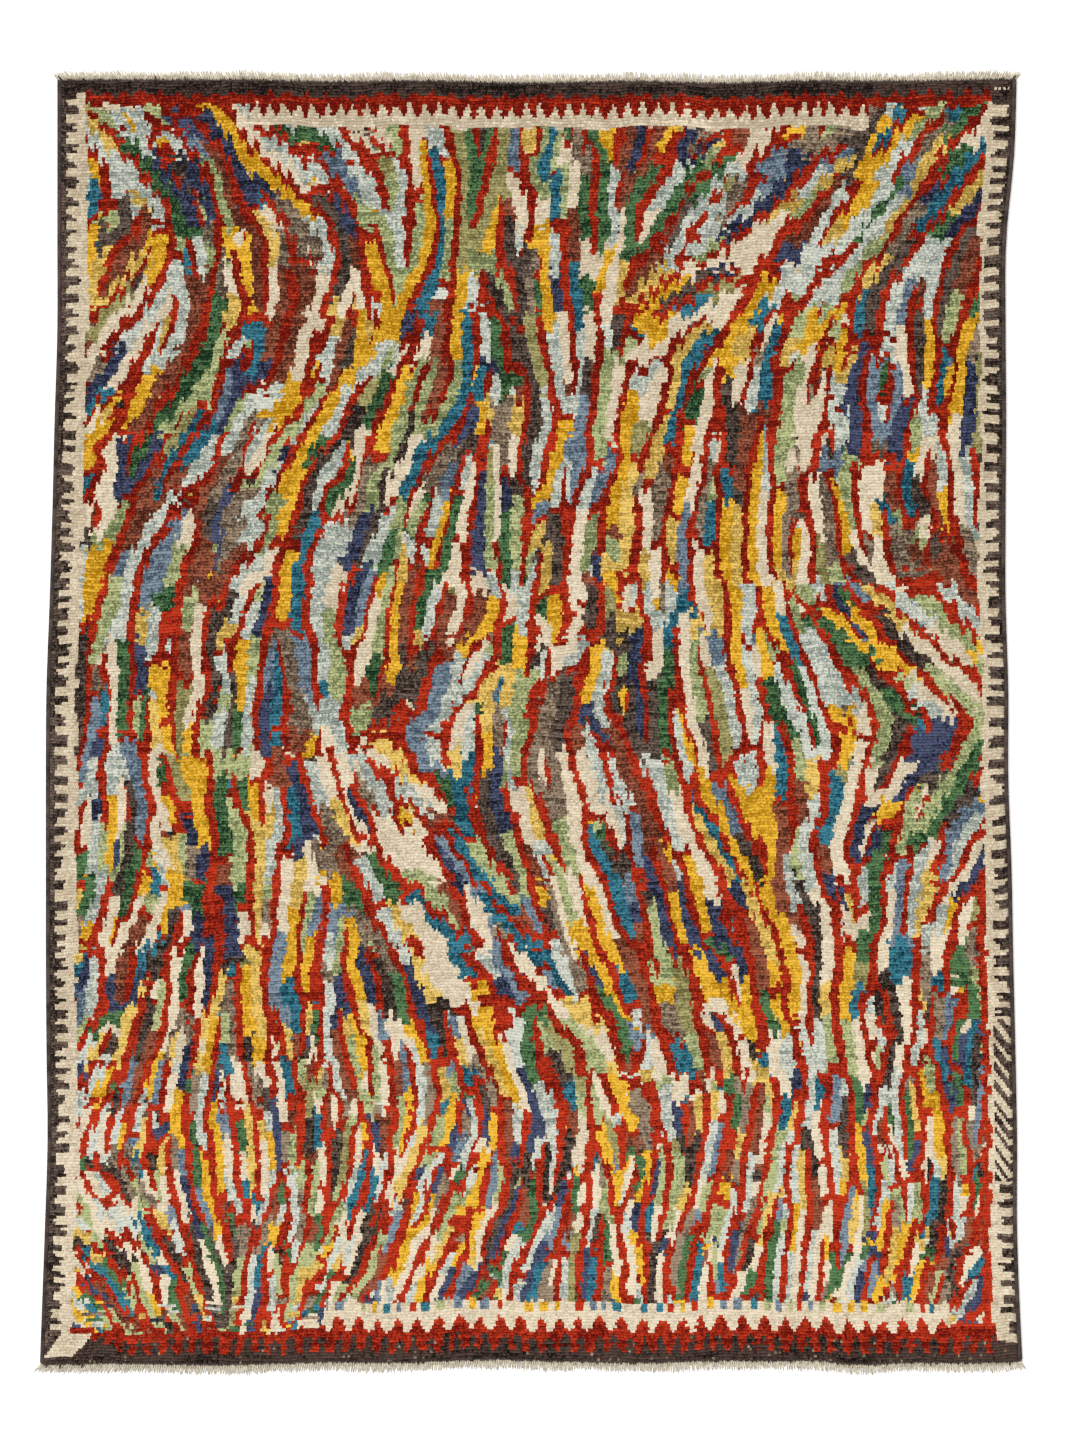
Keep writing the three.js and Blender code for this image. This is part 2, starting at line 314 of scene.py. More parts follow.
# The bottom corners, where the ivory bands end: a mitred wedge at the left and a block at the right.
wedge = within(row, 2, 9) & (knot >= 0.9 * (row - 2)) & (knot < 12.5 + 1.2 * (row - 2))
yarn[within(row, 3, 8) & (knot < 11)] = CHARCOAL
yarn[wedge] = IVORY
inward = KNOTS - 1 - knot
yarn[(row < 9) & (inward < 9)] = DARK_BROWN
yarn[within(row, 6 + (inward > 4), 15) & (inward < 9)] = IVORY
yarn[within(row, 9, 12) & (inward < 3)] = CHARCOAL
yarn[within(row, 16, 17) & (inward < 7)] = CHARCOAL

# Paler hairs in the dark wool, most of them near the bottom end.
fleck_chance = np.where(row < 45, 0.03, 0.006)
flecks = np.isin(yarn, [CHARCOAL, DARK_BROWN]) & (maker.random(yarn.shape) < fleck_chance)
yarn[flecks] = DYE_NAMES.index("taupe")

# Abrash: each dye gets lighter and darker from one few rows to the next, most of all madder and least of all
# ivory. Hand-spun yarn is uneven from knot to knot too, and most of all in the ivory of the top band.
dyer = np.random.default_rng(12)
abrash = np.zeros((ROWS, len(DYES)))
for number in range(len(DYES)):
    abrash[:, number] = 0.6 * dyer.uniform(-1, 1, ROWS)[runs(list(range(3, 16)), ROWS, dyer)]
    abrash[:, number] += 0.5 * dyer.uniform(-1, 1, ROWS)[runs([1, 1, 2, 3], ROWS, dyer)]
top_ivory = (yarn == IVORY) & top_band & (from_top < 16)
uneven = dyer.normal(0, 1, yarn.shape)
along_row = sum(np.roll(uneven, shift, axis=1) for shift in range(5)) / math.sqrt(5)
far_along = sum(np.roll(uneven[::-1], shift, axis=1) for shift in range(16)) / math.sqrt(16)
uneven = 0.2 * along_row + 0.25 * far_along + 0.37 * dyer.normal(0, 1, yarn.shape)
uneven *= np.select([yarn == MADDER, yarn == IVORY], [0.75, 0.65], 1.15)
uneven *= np.where(top_ivory, 2.2, 1)
take_up = np.select([yarn == MADDER, yarn == IVORY], [0.65, 0.2], 0.45)
shade = take_up * abrash[row, yarn] + 0.3 * pot + uneven

# Where the wool is lighter or darker as a whole, also by how far up the rug it is, at the four CHART_ROWS.
cloudy = sum(np.cos(across_mm / dyer.uniform(18, 120) + along_mm / 90 + dyer.uniform(0, 6))
             for _ in range(5))
CHART_ROWS = [30, 160, 300, 420]
for places, lighter in (
    (yarn == DARK_BROWN, 0.2 * cloudy),
    (top_ivory, -0.7),
    ((yarn == IVORY) & (np.minimum(knot, inward) < 14), -0.42),
    ((yarn == IVORY) & (row < 22), -0.3),
    (yarn == CHARCOAL, -0.1),
    (yarn != CHARCOAL, np.interp(row, CHART_ROWS, [0.7, 0.15, 0, -0.1])),
    (yarn == MADDER, np.interp(row, CHART_ROWS, [-0.15, -0.2, -0.25, -0.3])),
    ((yarn == DARK_BROWN) & (row < 10), -0.2),
    ((yarn == MADDER) & (row < 14), -0.5),
    ((yarn == MADDER) & (row == 12) & (knot > 370), 1.2),
    (flecks, -1.1),
):
    shade += np.where(places, lighter, 0)
shade = np.clip(0.5 + 0.5 * shade, -0.1, 1.1)

# The outline of the knotted part, from the CAD solid's underside. A side bows by 25 mm at most.
UNDERSIDE = 1e-4
EDGE_BOW = 0.025
cad_points = np.array([vertex.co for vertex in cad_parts["knotted_body"].data.vertices])
outline = cad_points[cad_points[:, 2] < UNDERSIDE]


def outline_edge(first, second, along):
    """Points of the outline between two of its corners, as places and offsets for np.interp."""
    away = 1 - along
    line = np.interp(outline[:, along], sorted([first[along], second[along]]),
                     [corner[away] for corner in sorted([first, second], key=lambda corner: corner[along])])
    near = outline[np.abs(outline[:, away] - line) < EDGE_BOW]
    near = near[np.argsort(near[:, along])]
    return near[:, along], near[:, away]


bottom_left = outline[np.argmin(outline[:, 0] + outline[:, 1])]
top_right = outline[np.argmax(outline[:, 0] + outline[:, 1])]
bottom_right = outline[np.argmax(outline[:, 0] - outline[:, 1])]
top_left = outline[np.argmin(outline[:, 0] - outline[:, 1])]
left_edge = outline_edge(bottom_left, top_left, 1)
right_edge = outline_edge(bottom_right, top_right, 1)
bottom_edge = outline_edge(bottom_left, bottom_right, 0)
top_edge = outline_edge(top_left, top_right, 0)


def on_rug(across, along):
    """Where a point lies in plan, by its share of the way across from the left and along from the bottom."""
    x = bottom_left[0] + across * (bottom_right[0] - bottom_left[0])
    y = bottom_left[1] + along * (top_left[1] - bottom_left[1])
    for _ in range(3):
        left = np.interp(y, *left_edge)
        x = left + across * (np.interp(y, *right_edge) - left)
        low = np.interp(x, *bottom_edge)
        y = low + along * (np.interp(x, *top_edge) - low)
    return x, y


# The corners of a four-sided face, in order: how far right and how far up each one is.
RIGHT = np.array([0, 1, 1, 0])
UP = np.array([0, 0, 1, 1])


def grid(across, along):
    """The faces of a grid, row by row: their columns, their rows and the numbers of their corners."""
    columns, lines = np.meshgrid(np.arange(across), np.arange(along))
    columns = columns.ravel()
    lines = lines.ravel()
    corner = lines * (across + 1) + columns
    return columns, lines, corner[:, None] + RIGHT + UP * (across + 1)


def lay_out(cell, columns, across, along):
    """Places for the corners of faces on a square picture of the piece, each face within its own cell."""
    rows = int(cell.max()) // columns + 1
    margin = 0.003
    u = (cell % columns)[:, None] / columns + margin + across * (1 / columns - 2 * margin)
    v = (cell // columns)[:, None] / rows + margin + along * (1 / rows - 2 * margin)
    return np.stack([u, v], axis=-1)


def four_sided(name, points, faces, places, material):
    """A smooth piece made of four-sided faces."""
    mesh = bpy.data.meshes.new(name)
    mesh.from_pydata(points.tolist(), [], faces.tolist())
    mesh.uv_layers.new(name="OFBake").data.foreach_set("uv", places.astype(np.float32).ravel())
    mesh.polygons.foreach_set("use_smooth", np.ones(len(faces), bool))
    mesh.materials.append(material)
    mesh.update()
    piece = bpy.data.objects.new(name, mesh)
    bpy.context.scene.collection.objects.link(piece)
    return piece


def dye_faces(piece, tied_row, tied_knot):
    """Gives each face of a piece the dye of the knot that it belongs to, and the shade that the dye took."""
    dyes = (yarn[tied_row, tied_knot] + 0.5) / len(DYES)
    for name, values in (("dye", dyes), ("lot", shade[tied_row, tied_knot])):
        kept = piece.data.attributes.new(name, "FLOAT", "FACE")
        kept.data.foreach_set("value", values.astype(np.float32))


def linear(code):
    """The linear colour of an sRGB hex code."""
    shares = [int(code[i:i + 2], 16) / 255 for i in (1, 3, 5)]
    return [s / 12.92 if s < 0.04045 else ((s + 0.055) / 1.055) ** 2.4 for s in shares] + [1.0]


def new_material(name):
    """A material with no nodes yet, and its node tree."""
    material = bpy.data.materials.new(name)
    material.use_nodes = True
    material.node_tree.nodes.clear()
    return material, material.node_tree


def add(tree, kind, links=(), **settings):
    """A node with its settings, and each input set to a value or linked to another node's output."""
    node = tree.nodes.new(kind)
    for name, value in settings.items():
        setattr(node, name, value)
    for socket, value in dict(links).items():
        if isinstance(value, bpy.types.NodeSocket):
            tree.links.new(value, node.inputs[socket])
        else:
            node.inputs[socket].default_value = value
    return node


# Hand-spun wool, pot-dyed and cut: matt, soft, a little lighter where it is seen at a slant, and heathered
# because each yarn is spun from fleece of several shades. Shade is painted into its colour in the hollows
# behind each row, and the ends of its fibres make a fine bump.
FLEECE = 3.2e-3
FIBRE_TIPS = 1.1e-3
wool_pile, tree = new_material("hand_spun_wool_pile")
dye = add(tree, "ShaderNodeAttribute", attribute_name="dye")
lot = add(tree, "ShaderNodeAttribute", attribute_name="lot")
spot = add(tree, "ShaderNodeTexCoord").outputs["Object"]
heather = add(tree, "ShaderNodeTexNoise", {"Vector": spot, "Scale": 1 / FLEECE, "Detail": 4.0})
spread = add(tree, "ShaderNodeMath", {0: heather.outputs["Fac"], 1: 2.6, 2: -1.3}, operation="MULTIPLY_ADD")
pot_share = add(tree, "ShaderNodeMath", {0: lot.outputs["Fac"], 1: spread.outputs[0]}, operation="ADD",
                use_clamp=True)
pots = []
for weak in (0, 1):
    ramp = add(tree, "ShaderNodeValToRGB", {"Fac": dye.outputs["Fac"]})
    ramp.color_ramp.interpolation = "CONSTANT"
    stops = ramp.color_ramp.elements
    for number, name in enumerate(DYE_NAMES):
        stop = stops[0] if number == 0 else stops.new(number / len(DYES))
        stop.color = linear(DYES[name][weak])
    stops.remove(stops[-1])
    pots.append(ramp.outputs["Color"])
dyed = add(tree, "ShaderNodeMix", {"Factor": pot_share.outputs[0], 6: pots[0], 7: pots[1]}, data_type="RGBA")
# Painted shade: this attribute darkens the dyed colour through the Gamma node, most in the hollows behind
# each row.
painted_hollow_shade = add(tree, "ShaderNodeAttribute", attribute_name="painted_hollow_shade")
shade_gamma = add(tree, "ShaderNodeMath", {0: painted_hollow_shade.outputs["Fac"], 1: 0.5, 2: 0.95}, operation="MULTIPLY_ADD")
shaded = add(tree, "ShaderNodeGamma", {"Color": dyed.outputs[2], "Gamma": shade_gamma.outputs[0]})
fluff = add(tree, "ShaderNodeTexNoise", {"Vector": spot, "Scale": 1 / FIBRE_TIPS, "Detail": 3.0})
tufts = add(tree, "ShaderNodeBump", {"Height": fluff.outputs["Fac"], "Strength": 0.6, "Distance": 1.2e-3})
wool = add(tree, "ShaderNodeBsdfPrincipled", {
    "Base Color": shaded.outputs[0], "Roughness": 0.95, "Specular IOR Level": 0.05, "Sheen Weight": 0.03,
    "Sheen Roughness": 0.6, "Normal": tufts.outputs["Normal"],
})
add(tree, "ShaderNodeOutputMaterial", {"Surface": wool.outputs["BSDF"]})

# The height of the pile by the distance from its edge, in millimetres. A row's tips stand up by LAP over the
# hollow behind them. The outer knots lean out by 0.3 of a knot, which laps them 1.2 mm over the side cords.
# A skirt closes the pile down to the back all round.
RIM_INSET = [0, 2.2, 6.5, 14]
RIM_HEIGHT = [8.5, 9.9, 11.3, 12]
LAP = 1.5
SKIRT_HEIGHT = 0.4
HEIGHT_SPREAD = 0.28
OVERHANG = 0.3

# Lines along the rows: one on each row's tips and one behind them, with a skirt at each end.
TIPS_AT = 0.12
BEHIND_AT = 0.94
line_place = np.repeat(np.arange(ROWS), 2) + np.tile([TIPS_AT, BEHIND_AT], ROWS)
line_place = np.concatenate([[0], line_place, [ROWS]])
line_is_tip = np.arange(len(line_place)) % 2 == 1
column_place = np.concatenate([[0, -OVERHANG], np.arange(1, KNOTS), [KNOTS + OVERHANG, KNOTS]])
column, line = np.meshgrid(column_place, line_place)
from_side = np.minimum(column, KNOTS - column) * KNOT_WIDTH
from_end = np.minimum(line, ROWS - line) * ROW_HEIGHT
inset = np.minimum(from_side, from_end) * 1000
height = np.interp(inset, RIM_INSET, RIM_HEIGHT)
height -= LAP * ~line_is_tip[:, None]
height += maker.normal(0, HEIGHT_SPREAD, height.shape)
height[[0, -1]] = SKIRT_HEIGHT
height[:, [0, -1]] = SKIRT_HEIGHT

# The tufts stray by parts of a knot and of a row, and the rows waver along their length. Both die away over
# the last 6 mm before the edge.
HELD_EDGE = 6
TUFT_STRAY_ACROSS = 0.17
TUFT_STRAY_ALONG = 0.07
free = np.clip(inset / HELD_EDGE, 0, 1)
tuft_across = maker.normal(0, TUFT_STRAY_ACROSS, height.shape)
tuft_along = np.repeat(maker.normal(0, TUFT_STRAY_ALONG, (ROWS + 1, len(column_place))), 2, axis=0)
waver = 0.35 * np.sin(2 * math.pi * (column / 61 + 0.4 * np.sin(line / 37)))
waver += 0.22 * np.sin(2 * math.pi * (column / 23 + line / 90))
pile_x, pile_y = on_rug((column + free * tuft_across) / KNOTS, (line + free * (tuft_along + waver)) / ROWS)
pile_points = np.stack([pile_x, pile_y, height / 1000], axis=-1)

# How much shade is painted into the pile's colour at each point, from 0 to 1: little on the tips, more in
# the hollows behind them. Ivory wool passes more light than dyed wool, so less shade is painted on it.
TIP_SHADE = 0.12
IVORY_SHADE = 0.42
DYED_SHADE = 0.85
row_of_line = np.minimum(np.arange(len(line_place)) // 2, ROWS - 1)
knot_of_column = np.clip(column_place, 0, KNOTS - 1).astype(int)
pale = yarn[row_of_line][:, knot_of_column] == IVORY
hollow_shade_amounts = np.where(line_is_tip[:, None], TIP_SHADE, np.where(pale, IVORY_SHADE, DYED_SHADE))
hollow_shade_amounts = np.clip(hollow_shade_amounts + maker.normal(0, 1, height.shape) * np.where(pale, 0.26, 0.12), 0, 1)

# The pile is made in bands of 54 rows. Each one's picture is folded in three, and the short riser under
# each row's tips takes 0.26 of the row's height there. The foot of each riser is a sharp edge.
BAND_ROWS = 54
RISER = 0.26
points_across = len(column_place)
fold = -(-(points_across - 1) // 3)
band_starts = np.arange(0, ROWS, BAND_ROWS) * 2
for number, (first, last) in enumerate(zip(band_starts, [*band_starts[1:], len(line_place) - 1])):
    columns, lines, faces = grid(points_across - 1, last - first)
    across = (columns % fold)[:, None] / fold + RIGHT / fold
    drawn = np.arange(last - first + 1) // 2 + np.where(np.arange(last - first + 1) % 2, RISER, 0)
    drawn = drawn / drawn.max()
    piece = four_sided(f"pile_{number + 1}", pile_points[first:last + 1].reshape(-1, 3), faces,
                       lay_out(columns // fold, 1, across, drawn[lines[:, None] + UP]), wool_pile)
    dye_faces(piece, row_of_line[first + lines], np.clip(columns - 1, 0, KNOTS - 1))
    # Each point's painted shade, which darkens the pile's colour in the hollows.
    painted_shade = piece.data.attributes.new("painted_hollow_shade", "FLOAT", "POINT")
    painted_shade.data.foreach_set("value", hollow_shade_amounts[first:last + 1].astype(np.float32).ravel())
    ends = np.zeros(len(piece.data.edges) * 2, np.int32)
    piece.data.edges.foreach_get("vertices", ends)
    ends = ends.reshape(-1, 2) // points_across + first
    behind = (ends[:, 0] == ends[:, 1]) & (ends[:, 0] % 2 == 0)
    piece.data.attributes.new("sharp_edge", "BOOLEAN", "EDGE").data.foreach_set("value", behind)
    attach(piece, "root")
    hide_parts("knotted_body")

# The back: the same knots seen from beneath, as small flat loops in rows with pale wefts between them. Its
# mesh has a face for two knots by two rows, and its material draws the single knots and the wefts. It is the
# rug's whole cloth; the pile, the side cords and the fringe are parts of it. Heights are in millimetres.
BACK_HEIGHT = 0.35
RIB = 0.12
DOWNWARDS = [0, 3, 2, 1]
cells_across = KNOTS // 2
cells_along = ROWS // 2
column, line = np.meshgrid(np.arange(cells_across + 1), np.arange(cells_along + 1))
back_x, back_y = on_rug(column / cells_across, line / cells_along)
ribs = np.where(column % 2 == 0, RIB, -RIB)
back_points = np.stack([back_x, back_y, (BACK_HEIGHT + ribs) / 1000], axis=-1)
columns, lines, faces = grid(cells_across, cells_along)
across = (columns[:, None] + RIGHT[DOWNWARDS]) / cells_across
along = (lines[:, None] + UP[DOWNWARDS]) / cells_along


def found(tree, kind):
    """The first node of a kind in a copied material."""
    return next(node for node in tree.nodes if node.type == kind)


# Knot backs: the same wool uncut, its dye deeper, and with shade painted into the colour between the knot
# loops and rows, with the weft showing as fine pale lines. The wave texture repeats every tau / 20 at a
# scale of 1.
WEFT_COLOUR = "#A89B86"
wool_back = wool_pile.copy()
wool_back.name = "wool_knot_backs"
back = four_sided("rug_back", back_points.reshape(-1, 3), faces[:, DOWNWARDS],
                  lay_out(columns * 0, 1, across, along), wool_back)
dye_faces(back, lines * 2, columns * 2)
tree = wool_back.node_tree
spot = found(tree, "TEX_COORD").outputs["Object"]
loops = add(tree, "ShaderNodeTexWave", {"Vector": spot, "Scale": math.tau / ROW_HEIGHT / 20,
                                        "Distortion": 1.2, "Detail": 2.0}, bands_direction="Y")
beads = add(tree, "ShaderNodeTexWave", {"Vector": spot, "Scale": math.tau / KNOT_WIDTH / 20,
                                        "Distortion": 0.8, "Detail": 2.0}, bands_direction="X")
knobs = add(tree, "ShaderNodeMath", {0: loops.outputs["Fac"], 1: beads.outputs["Fac"]}, operation="MULTIPLY")
tree.links.new(knobs.outputs[0], found(tree, "BUMP").inputs["Height"])
# Painted shade: the Gamma node darkens the colour between the knot loops and rows, and lightens their tops a
# little.
painted_shade = add(tree, "ShaderNodeMath", {0: knobs.outputs[0], 1: -0.7, 2: 1.5}, operation="MULTIPLY_ADD")
dyed = found(tree, "GAMMA")
tree.links.new(painted_shade.outputs[0], dyed.inputs["Gamma"])
weft = add(tree, "ShaderNodeMath", {0: loops.outputs["Fac"], 1: -3.5, 2: 0.9}, operation="MULTIPLY_ADD",
           use_clamp=True)
seen = add(tree, "ShaderNodeMath", {0: beads.outputs["Fac"], 1: -0.5, 2: 0.75}, operation="MULTIPLY_ADD")
weft_share = add(tree, "ShaderNodeMath", {0: weft.outputs[0], 1: seen.outputs[0]}, operation="MULTIPLY")
woven = add(tree, "ShaderNodeMix", {"Factor": weft_share.outputs[0], 6: dyed.outputs[0],
                                    7: linear(WEFT_COLOUR)}, data_type="RGBA")
tree.links.new(woven.outputs[2], found(tree, "BSDF_PRINCIPLED").inputs["Base Color"])
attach(back, "root")
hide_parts("knotted_body")


def tubes(centres, half_width, half_height, sides, twist=0.0, squareness=1.0):
    """Closed tubes through stations: centres is (tube, station, 3), the halves are one for each station."""
    count, stations = centres.shape[:2]
    ahead = np.gradient(centres, axis=1)
    ahead[..., 2] = 0
    ahead /= np.linalg.norm(ahead, axis=2, keepdims=True)
    beside = np.stack([ahead[..., 1], -ahead[..., 0], np.zeros((count, stations))], axis=-1)
    turn = 2 * math.pi * (np.arange(sides) + 0.5) / sides
    wide = np.sign(np.cos(turn)) * np.abs(np.cos(turn)) ** squareness
    high = np.sign(np.sin(turn)) * np.abs(np.sin(turn)) ** squareness
    points = centres[:, :, None] + beside[:, :, None] * (half_width[..., None] * wide)[..., None]
    points[..., 2] += half_height[..., None] * high
    points += ahead[:, :, None] * (twist * np.cos(turn))[..., None]
    ring = np.arange(count * stations).reshape(count, stations)[:, :-1].ravel()[:, None]
    side = np.arange(sides)
    walls = np.stack([ring * sides + side, (ring + 1) * sides + side,
                      (ring + 1) * sides + (side + 1) % sides, ring * sides + (side + 1) % sides], axis=-1)
    caps = np.array([[0, k, k + 1, k + 2] for k in range(1, sides - 1, 2)])
    root = (np.arange(count) * stations * sides)[:, None, None]
    tips = root + (stations - 1) * sides + caps[:, ::-1]
    faces = np.concatenate([part.reshape(-1, 4) for part in (walls, root + caps, tips)])
    return points.reshape(-1, 3), faces


# The side cords: charcoal wool wound over the two outermost warp bundles, wrap against wrap, which binds
# each long edge. They are 9 mm wide and 8 mm high, and lie on the floor beside the pile.
CORD_WIDTH = 9.0e-3
CORD_HEIGHT = 8.0e-3
CLEARANCE = 0.2e-3
WRAP = 3.6e-3
WRAP_SLANT = 1.3e-3
BETWEEN_WRAPS = 0.88
CORD_END = 0.6
SQUARENESS = 0.6
CORD_SIDES = 8
CAP_FACES = 6

# Overcast wool: firm twisted yarn, a little smoother than the cut pile, brown-black with paler fibres.
FADED_PATCH = 18e-3
STRAND = 0.8e-3
wool_cord, tree = new_material("overcast_wool_yarn")
spot = add(tree, "ShaderNodeTexCoord").outputs["Object"]
patches = add(tree, "ShaderNodeTexNoise", {"Vector": spot, "Scale": 1 / FADED_PATCH, "Detail": 3.0})
strands = add(tree, "ShaderNodeTexNoise", {"Vector": spot, "Scale": 1 / STRAND, "Detail": 2.0})
both = add(tree, "ShaderNodeMath", {0: patches.outputs["Fac"], 1: strands.outputs["Fac"]},
           operation="MULTIPLY")
plies = add(tree, "ShaderNodeTexWave", {"Vector": spot, "Scale": math.tau / WRAP / 20,
                                        "Distortion": 1.0, "Detail": 2.0}, bands_direction="Y")
ramp = add(tree, "ShaderNodeValToRGB", {"Fac": both.outputs[0]})
ramp.color_ramp.elements[0].position = 0.15
ramp.color_ramp.elements[0].color = linear("#2C2522")
ramp.color_ramp.elements[1].position = 0.38
ramp.color_ramp.elements[1].color = linear("#5E5049")
wound = add(tree, "ShaderNodeBump", {"Height": plies.outputs["Fac"], "Strength": 0.7, "Distance": 1.2e-3})
bump = add(tree, "ShaderNodeBump", {"Height": strands.outputs["Fac"], "Strength": 0.4, "Distance": 0.5e-3,
                                    "Normal": wound.outputs["Normal"]})
wool = add(tree, "ShaderNodeBsdfPrincipled", {
    "Base Color": ramp.outputs["Color"], "Roughness": 0.9, "Specular IOR Level": 0.08, "Sheen Weight": 0.03,
    "Normal": bump.outputs["Normal"],
})
add(tree, "ShaderNodeOutputMaterial", {"Surface": wool.outputs["BSDF"]})

# A cord has a full ring on each wrap and a narrower one between wraps. Its picture is folded in eight, with
# the faces that close its two ends above the first fold.
rings = int(round((top_left[1] - bottom_left[1]) / WRAP)) * 2 + 1
fold = -(-(rings - 1) // 8)
station = np.repeat(np.arange(rings - 1), CORD_SIDES)
turn = np.tile(np.arange(CORD_SIDES), rings - 1)
cap = np.arange(CAP_FACES)[:, None]
around = np.concatenate([(turn[:, None] + UP) / CORD_SIDES,
                         (cap + np.array([0.1, 0.9, 0.9, 0.1])) / CAP_FACES])
along = np.concatenate([0.94 * ((station % fold)[:, None] + RIGHT) / fold,
                        np.tile([0.96, 0.96, 1.0, 1.0], (CAP_FACES, 1))])
cord_places = lay_out(np.concatenate([station // fold, np.zeros(CAP_FACES, int)]), 8, around, along)

for side, across, outward in (("left", 0.0, -1), ("right", 1.0, 1)):
    x, y = on_rug(np.full(rings, across), np.linspace(0.0, 1.0, rings))
    x += outward * (CLEARANCE + CORD_WIDTH / 2)
    full = np.where(np.arange(rings) % 2, 1.0, BETWEEN_WRAPS) + maker.normal(0, 0.012, rings)
    full[[0, -1]] = CORD_END
    centres = np.stack([x, y, np.full(rings, CORD_HEIGHT / 2)], axis=-1)[None]
    points, faces = tubes(centres, CORD_WIDTH / 2 * full[None], CORD_HEIGHT / 2 * full[None], CORD_SIDES,
                          outward * WRAP_SLANT, SQUARENESS)
    points[:, 2] = np.maximum(points[:, 2], CLEARANCE)
    cord = four_sided(f"side_cord_{side}", points, faces, cord_places, wool_cord)
    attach(cord, "root")
    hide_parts(f"selvedge_{side}")


def thread_places(count, stations, columns):
    """The picture of a row of four-sided threads, one to a cell: the sides below and the two ends on top."""
    thread = np.repeat(np.arange(count), (stations - 1) * 4)
    station = np.tile(np.repeat(np.arange(stations - 1), 4), count)
    turn = np.tile(np.arange(4), count * (stations - 1))
    cap = np.tile([0.0, 0.5, 0.5, 0.0], (count, 1))
    around = np.concatenate([(turn[:, None] + UP) / 4, cap, cap + 0.5])
    along = np.concatenate([0.9 * (station[:, None] + RIGHT) / (stations - 1),
                            np.tile([0.92, 0.92, 1.0, 1.0], (count * 2, 1))])
    return lay_out(np.concatenate([thread, np.arange(count), np.arange(count)]), columns, around, along)


# The ends: the cotton warps, a pair to each knot, go through a narrow strip of grey wool wefts that holds
# the last row of knots; the strip's grey is partly painted shade. Their cut ends stand out of it as a short
# fringe that lies on the floor. The fringe leans by so many degrees to the right, at eight places across the
# end, and it is looser at the top.
ENDS = (("top", 1.0, 1), ("bottom", 0.0, -1))
WARPS = KNOTS * 2
LEAN = [0, 0.03, 0.1, 0.35, 0.6, 0.88, 0.97, 1]
LEAN_DEGREES = {
    "top": [-38, -24, -14, -8, -3, 6, 20, 38],
    "bottom": [-40, -24, -8, 0, 3, 8, 14, 26],
}
FRINGE_LENGTH = {"top": 16.5e-3, "bottom": 17.5e-3}
LOOSENESS = {"top": 1.8, "bottom": 1.0}
WARP_START = 1.5e-3
WARP_CLEARANCE = 0.1e-3

# Undyed handspun cotton: matt off-white, greyer and whiter along each thread, with its twist as a fine bump.
SLUB = 6e-3
TWIST = 0.7e-3
cotton, tree = new_material("handspun_cotton_warp")
spot = add(tree, "ShaderNodeTexCoord").outputs["Object"]
slubs = add(tree, "ShaderNodeTexNoise", {"Vector": spot, "Scale": 1 / SLUB, "Detail": 4.0})
ramp = add(tree, "ShaderNodeValToRGB", {"Fac": slubs.outputs["Fac"]})
ramp.color_ramp.elements[0].position = 0.3
ramp.color_ramp.elements[0].color = linear("#A89C86")
ramp.color_ramp.elements[1].position = 0.7
ramp.color_ramp.elements[1].color = linear("#E4DAC5")
twist = add(tree, "ShaderNodeTexNoise", {"Vector": spot, "Scale": 1 / TWIST, "Detail": 2.0})
bump = add(tree, "ShaderNodeBump", {"Height": twist.outputs["Fac"], "Strength": 0.4, "Distance": 0.4e-3})
thread = add(tree, "ShaderNodeBsdfPrincipled", {
    "Base Color": ramp.outputs["Color"], "Roughness": 0.95, "Specular IOR Level": 0.1, "Sheen Weight": 0.03,
    "Normal": bump.outputs["Normal"],
})
add(tree, "ShaderNodeOutputMaterial", {"Surface": thread.outputs["BSDF"]})

# Each warp has four stations, from under the pile to its tip. WARP_HEIGHT is how high its middle lies at
# each one and WARP_HALF is half its thickness, in millimetres.
WARP_HEIGHT = [2.0, 2.0, 1.5, 1.0]
WARP_HALF = [0.95, 1.0, 0.95, 0.45]
PAIR_SPREAD = 0.00044
stations = len(WARP_HEIGHT)
share = np.linspace(0, 1, stations)
pair = np.tile([-PAIR_SPREAD, PAIR_SPREAD], KNOTS)
warp_places = thread_places(WARPS, stations, 30)
ends = []
for end, along, outward in ENDS:
    loose = LOOSENESS[end]
    place = np.repeat(np.linspace(-0.004, 1.004, KNOTS), 2) + pair + maker.normal(0, 0.00006, WARPS)
    x, y = on_rug(place, np.full(WARPS, along))
    lean = np.interp(place, LEAN, LEAN_DEGREES[end]) + 2.5 * np.sin(place * 67) + 2.0 * np.sin(place * 171)
    lean = np.radians(lean + loose * maker.normal(0, 1.3, WARPS))
    curl = loose * (np.repeat(maker.normal(0, 0.05, KNOTS), 2) + maker.normal(0, 0.03, WARPS))
    swell = 1 + 0.07 * np.sin(place * 41) + 0.05 * np.sin(place * 97 + 1)
    length = FRINGE_LENGTH[end] * swell * np.clip(1 + maker.normal(0, 0.11, WARPS), 0.65, 1.15)
    angle = lean[:, None] + curl[:, None] * share
    stride = (length / (stations - 1))[:, None]
    out_x, out_y = [
        np.concatenate([np.zeros((WARPS, 1)), np.cumsum(stride * part(angle[:, 1:]), axis=1)], axis=1)
        for part in (np.sin, np.cos)
    ]
    middle = np.clip(np.array(WARP_HEIGHT) + maker.normal(0, 0.2, (WARPS, stations)), 0.9, 3.2)
    centres = np.stack([x[:, None] + out_x, (y + outward * WARP_START)[:, None] + outward * out_y,
                        middle / 1000], axis=-1)
    thick = np.array(WARP_HALF) * maker.uniform(0.88, 1.12, (WARPS, 1)) / 1000
    points, faces = tubes(centres, thick, thick, 4)
    points[:, 2] = np.maximum(points[:, 2], WARP_CLEARANCE)
    fringe = four_sided(f"warp_fringe_{end}", points, faces, warp_places, cotton)
    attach(fringe, "root")
    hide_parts(f"fringe_{end}")
    ends.append(fringe)
